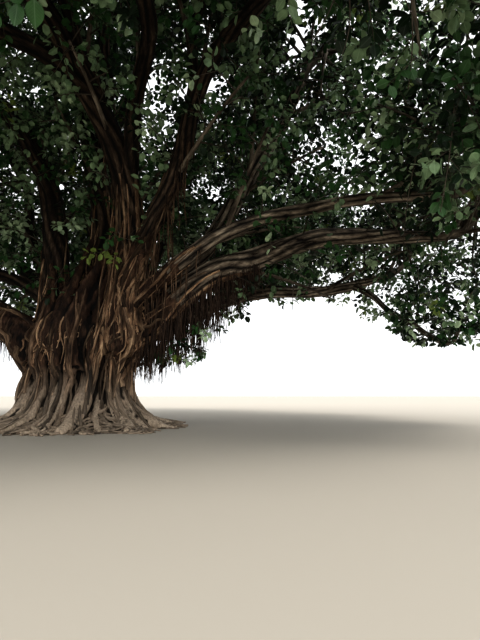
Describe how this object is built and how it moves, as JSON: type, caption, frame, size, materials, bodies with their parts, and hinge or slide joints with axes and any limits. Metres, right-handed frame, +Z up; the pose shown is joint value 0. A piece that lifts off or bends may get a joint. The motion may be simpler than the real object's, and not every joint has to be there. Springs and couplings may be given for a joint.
{
  "type": "banyan tree",
  "caption": "Broad spreading banyan with a short fluted trunk, a wide root flare, heavy low boughs, hanging aerial roots and a dome of foliage.",
  "frame": {"origin": "on the flat cut at ground level, in the middle of the trunk", "axes": "+Z up the trunk, +X to the right and -Y towards the viewer in the picture"},
  "size_m": [20.3677, 20.7958, 12.5703],
  "materials": {
    "bark": "rough grey-brown bark",
    "aerial_roots": "fine reddish-brown roots",
    "leaves": "matt dark green with dusty grey-green undersides"
  },
  "bodies": {
    "root": {"bough_back": "bark", "bough_back_left": "bark", "bough_back_right": "bark", "bough_back_right_low": "bark", "bough_front_left": "bark", "bough_front_right": "bark", "bough_left": "bark", "bough_left_back": "bark", "bough_right": "bark", "bough_right_droop": "bark", "bough_right_front": "bark", "bough_right_low": "bark", "bough_right_rising": "bark", "bough_shoulder_back": "bark", "bough_shoulder_back_left": "bark", "bough_shoulder_back_right": "bark", "bough_shoulder_front": "bark", "bough_shoulder_front_left": "bark", "bough_shoulder_right": "bark", "bough_upper_back": "bark", "bough_upper_front": "bark", "bough_upper_left": "bark", "bough_upper_right": "bark", "hanging_roots_back": "aerial_roots", "hanging_roots_front": "aerial_roots", "hanging_roots_left": "aerial_roots", "hanging_roots_right": "aerial_roots", "leaves_back": "leaves", "leaves_back_left": "leaves", "leaves_back_right": "leaves", "leaves_back_right_low": "leaves", "leaves_front_left": "leaves", "leaves_front_right": "leaves", "leaves_left": "leaves", "leaves_left_back": "leaves", "leaves_right": "leaves", "leaves_right_droop": "leaves", "leaves_right_front": "leaves", "leaves_right_low": "leaves", "leaves_right_rising": "leaves", "leaves_shoulder_back": "leaves", "leaves_shoulder_back_left": "leaves", "leaves_shoulder_back_right": "leaves", "leaves_shoulder_front": "leaves", "leaves_shoulder_front_left": "leaves", "leaves_shoulder_right": "leaves", "leaves_stem_back": "leaves", "leaves_stem_front": "leaves", "leaves_stem_left": "leaves", "leaves_stem_right": "leaves", "leaves_upper_back": "leaves", "leaves_upper_front": "leaves", "leaves_upper_left": "leaves", "leaves_upper_right": "leaves", "stem_back": "bark", "stem_front": "bark", "stem_left": "bark", "stem_right": "bark", "trunk": "bark"}
  },
  "joints": []
}
